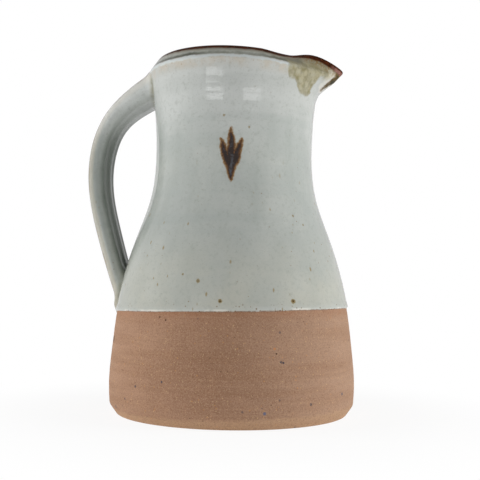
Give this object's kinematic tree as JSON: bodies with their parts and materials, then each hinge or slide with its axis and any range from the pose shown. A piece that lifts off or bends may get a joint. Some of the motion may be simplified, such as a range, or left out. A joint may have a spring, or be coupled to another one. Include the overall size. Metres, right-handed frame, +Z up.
{
  "type": "stoneware crock jug",
  "caption": "Thrown stoneware crock jug with a pulled spout, a strap handle and a rolled glaze line over bare clay, for pouring and keeping drinks at the table.",
  "frame": {"origin": "centre of the flat foot, on the surface the jug stands on", "axes": "+Z up, +X towards the spout, handle towards -X"},
  "size_m": [0.1614, 0.1454, 0.2079],
  "materials": {
    "clay": "bare, fine grit",
    "handle_clay": "bare, under glaze",
    "slip": "satin, glazed over",
    "celadon": "gloss, speckled",
    "liner": "gloss",
    "iron": "gloss, iron brown",
    "pigment": "gloss, iron brown"
  },
  "bodies": {
    "root": {"stoneware_body": "clay", "pulled_handle": "handle_clay", "upper_handle_slip": "slip", "lower_handle_slip": "slip", "outer_glaze": "celadon", "liner_glaze": "liner", "handle_glaze": "celadon", "rim_iron_wash": "iron", "brush_mark": "pigment"}
  },
  "joints": []
}
